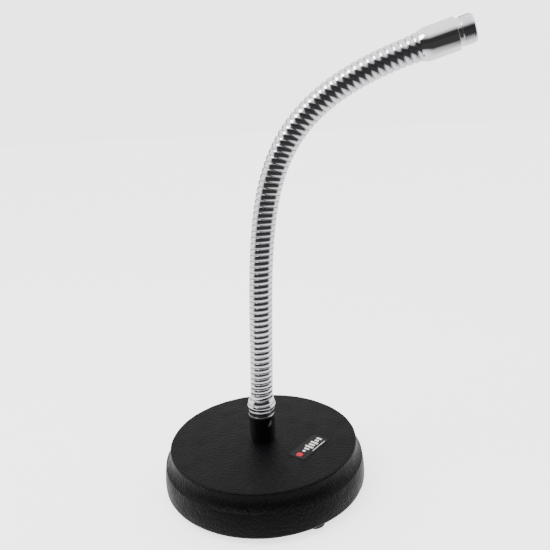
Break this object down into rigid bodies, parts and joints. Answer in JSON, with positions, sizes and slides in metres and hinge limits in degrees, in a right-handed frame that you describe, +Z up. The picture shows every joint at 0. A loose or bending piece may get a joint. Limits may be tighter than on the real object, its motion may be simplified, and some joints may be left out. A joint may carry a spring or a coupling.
{
  "type": "desktop microphone stand",
  "caption": "Weighted round desk base on rubber feet with a bendable chromed gooseneck ending in a sleeve and a standard microphone thread.",
  "frame": {"origin": "centre of the base, on the surface the stand rests on", "axes": "+Z up, +X the way the neck leans over, +Y across the neck"},
  "size_m": [0.1988, 0.135, 0.2883],
  "materials": {
    "crinkle_black": "fine black crinkle coat on cast iron",
    "gloss_black": "gloss black",
    "label_vinyl": "printed vinyl film",
    "rubber": "matt black rubber",
    "zinc_steel": "zinc plated",
    "dark_steel": "blackened spring steel",
    "chrome": "mirror chrome",
    "spring_chrome": "chromed wedge wire",
    "wire_chrome": "plated round wire"
  },
  "bodies": {
    "base": {"base_casting": "crinkle_black", "rubber_foot_front": "rubber", "rubber_foot_left": "rubber", "rubber_foot_rear": "rubber", "foot_screws": "zinc_steel", "collar": "gloss_black", "base_label": "label_vinyl", "neck_stud": "zinc_steel", "flat_washer": "zinc_steel", "spring_washer": "dark_steel", "hex_nut": "zinc_steel", "outer_coil_foot": "spring_chrome", "inner_coil_foot": "wire_chrome"},
    "neck_01": {"outer_coil_01": "spring_chrome", "inner_coil_01": "wire_chrome"},
    "neck_02": {"outer_coil_02": "spring_chrome", "inner_coil_02": "wire_chrome"},
    "neck_03": {"outer_coil_03": "spring_chrome", "inner_coil_03": "wire_chrome"},
    "neck_04": {"outer_coil_04": "spring_chrome", "inner_coil_04": "wire_chrome"},
    "neck_05": {"outer_coil_05": "spring_chrome", "inner_coil_05": "wire_chrome"},
    "neck_06": {"outer_coil_06": "spring_chrome", "inner_coil_06": "wire_chrome"},
    "neck_07": {"outer_coil_07": "spring_chrome", "inner_coil_07": "wire_chrome"},
    "neck_08": {"outer_coil_08": "spring_chrome", "inner_coil_08": "wire_chrome"},
    "neck_09": {"outer_coil_09": "spring_chrome", "inner_coil_09": "wire_chrome"},
    "neck_10": {"outer_coil_10": "spring_chrome", "inner_coil_10": "wire_chrome"},
    "neck_11": {"outer_coil_11": "spring_chrome", "inner_coil_11": "wire_chrome"},
    "neck_12": {"outer_coil_12": "spring_chrome", "inner_coil_12": "wire_chrome"},
    "neck_13": {"outer_coil_13": "spring_chrome", "inner_coil_13": "wire_chrome"},
    "head": {"outer_coil_head": "spring_chrome", "inner_coil_head": "wire_chrome", "chrome_sleeve": "chrome", "mic_thread_stud": "chrome"}
  },
  "joints": [
    {"name": "neck_sway_01", "type": "hinge", "parent": "base", "child": "neck_01", "pos_m": [0.00063, 0, 0.05974], "axis": [-0.998, 0, 0.0633], "range_deg": [-17, 17]},
    {"name": "neck_nod_02", "type": "hinge", "parent": "neck_01", "child": "neck_02", "pos_m": [0.00176, 0, 0.07849], "axis": [0, 1, 0], "range_deg": [-16.6, 17.4]},
    {"name": "neck_sway_03", "type": "hinge", "parent": "neck_02", "child": "neck_03", "pos_m": [0.00275, 0, 0.09723], "axis": [-0.9986, 0, 0.0527], "range_deg": [-17, 17]},
    {"name": "neck_nod_04", "type": "hinge", "parent": "neck_03", "child": "neck_04", "pos_m": [0.00374, 0, 0.11604], "axis": [0, 1, 0], "range_deg": [-17.4, 16.6]},
    {"name": "neck_sway_05", "type": "hinge", "parent": "neck_04", "child": "neck_05", "pos_m": [0.00485, 0, 0.13478], "axis": [-0.9976, 0, 0.0689], "range_deg": [-17, 17]},
    {"name": "neck_nod_06", "type": "hinge", "parent": "neck_05", "child": "neck_06", "pos_m": [0.00632, 0, 0.15351], "axis": [0, 1, 0], "range_deg": [-19.2, 14.8]},
    {"name": "neck_sway_07", "type": "hinge", "parent": "neck_06", "child": "neck_07", "pos_m": [0.00852, 0, 0.17218], "axis": [-0.9886, 0, 0.1505], "range_deg": [-17, 17]},
    {"name": "neck_nod_08", "type": "hinge", "parent": "neck_07", "child": "neck_08", "pos_m": [0.01198, 0, 0.19067], "axis": [0, 1, 0], "range_deg": [-23.4, 10.6]},
    {"name": "neck_sway_09", "type": "hinge", "parent": "neck_08", "child": "neck_09", "pos_m": [0.01747, 0, 0.20861], "axis": [-0.9283, 0, 0.3718], "range_deg": [-17, 17]},
    {"name": "neck_nod_10", "type": "hinge", "parent": "neck_09", "child": "neck_10", "pos_m": [0.02589, 0, 0.2254], "axis": [0, 1, 0], "range_deg": [-29.2, 4.8]},
    {"name": "neck_sway_11", "type": "hinge", "parent": "neck_10", "child": "neck_11", "pos_m": [0.03767, 0, 0.24002], "axis": [-0.7076, 0, 0.7067], "range_deg": [-17, 17]},
    {"name": "neck_nod_12", "type": "hinge", "parent": "neck_11", "child": "neck_12", "pos_m": [0.05229, 0, 0.25183], "axis": [0, 1, 0], "range_deg": [-26.8, 7.2]},
    {"name": "neck_sway_13", "type": "hinge", "parent": "neck_12", "child": "neck_13", "pos_m": [0.06869, 0, 0.26098], "axis": [-0.4335, 0, 0.9011], "range_deg": [-17, 17]},
    {"name": "neck_nod_14", "type": "hinge", "parent": "neck_13", "child": "head", "pos_m": [0.08611, 0, 0.2681], "axis": [0, 1, 0], "range_deg": [-23.2, 10.8]}
  ]
}
